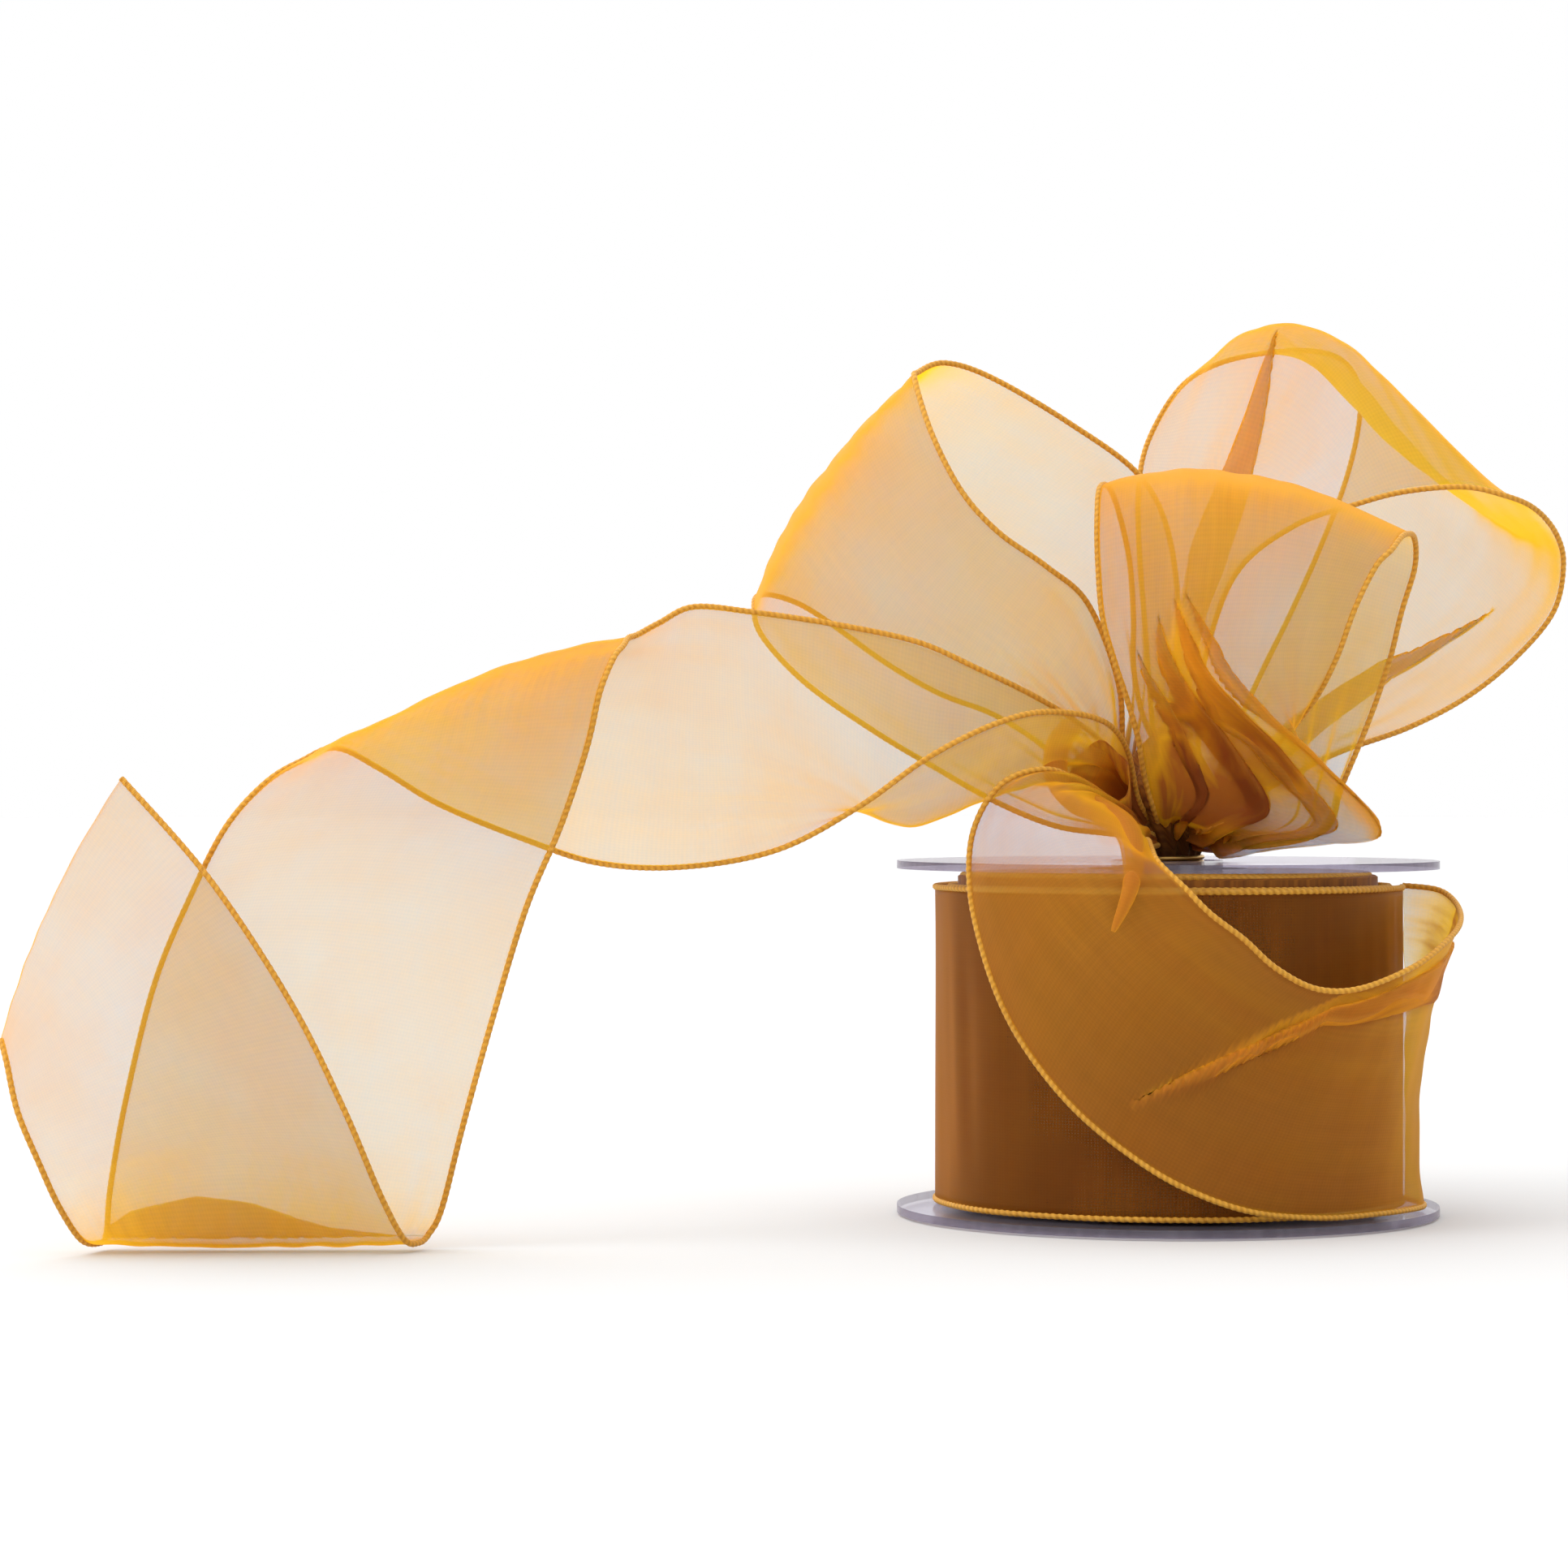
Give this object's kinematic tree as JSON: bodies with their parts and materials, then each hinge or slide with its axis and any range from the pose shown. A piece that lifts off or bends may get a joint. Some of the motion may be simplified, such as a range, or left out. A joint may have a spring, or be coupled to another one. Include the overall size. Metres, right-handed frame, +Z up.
{
  "type": "ribbon spool",
  "caption": "Clear-flanged spool wound with wire-edged sheer ribbon, its free end tied in a looped bow over the hub with a long twisted tail.",
  "frame": {"origin": "centre of the hub bore at the lower flange's rest face", "axes": "+Z up along the reel axis, -X towards the ribbon tail, -Y towards the viewer"},
  "size_m": [0.1913, 0.1001, 0.1145],
  "materials": {
    "flange_clear": "clear moulded plastic, darker at the rim",
    "core_card": "matt kraft cardboard",
    "tape_clear": "clear adhesive tape",
    "ribbon_pack": "many layers of golden-brown organza, dark amber",
    "ribbon_web": "sheer golden-brown organza with a soft sheen",
    "ribbon_wire": "golden-brown overlocked thread over a fine wire",
    "ribbon_gather": "organza gathered tight, dark brown",
    "tie_wire": "fine soft wire"
  },
  "bodies": {
    "reel": {"lower_flange": "flange_clear", "upper_flange": "flange_clear", "core_tube": "core_card", "start_tape": "tape_clear", "wound_ribbon": "ribbon_pack", "wound_upper_edge": "ribbon_wire", "wound_lower_edge": "ribbon_wire"},
    "free_ribbon": {"outer_turn": "ribbon_pack", "outer_turn_upper_wire": "ribbon_wire", "outer_turn_lower_wire": "ribbon_wire", "lead_ribbon": "ribbon_web", "lead_upper_wire": "ribbon_wire", "lead_lower_wire": "ribbon_wire", "gather": "ribbon_gather", "gather_tie": "tie_wire", "left_loop": "ribbon_web", "left_loop_upper_wire": "ribbon_wire", "left_loop_lower_wire": "ribbon_wire", "front_loop": "ribbon_web", "front_loop_left_wire": "ribbon_wire", "front_loop_right_wire": "ribbon_wire", "right_loop": "ribbon_web", "right_loop_upper_wire": "ribbon_wire", "right_loop_lower_wire": "ribbon_wire", "tail": "ribbon_web", "tail_upper_wire": "ribbon_wire", "tail_lower_wire": "ribbon_wire"}
  },
  "joints": [
    {"name": "reel_turn", "type": "hinge", "parent": "reel", "child": "free_ribbon", "pos_m": [0, 0, 0.0432], "axis": [0, 0, 1], "range_deg": [-25, 25]}
  ]
}
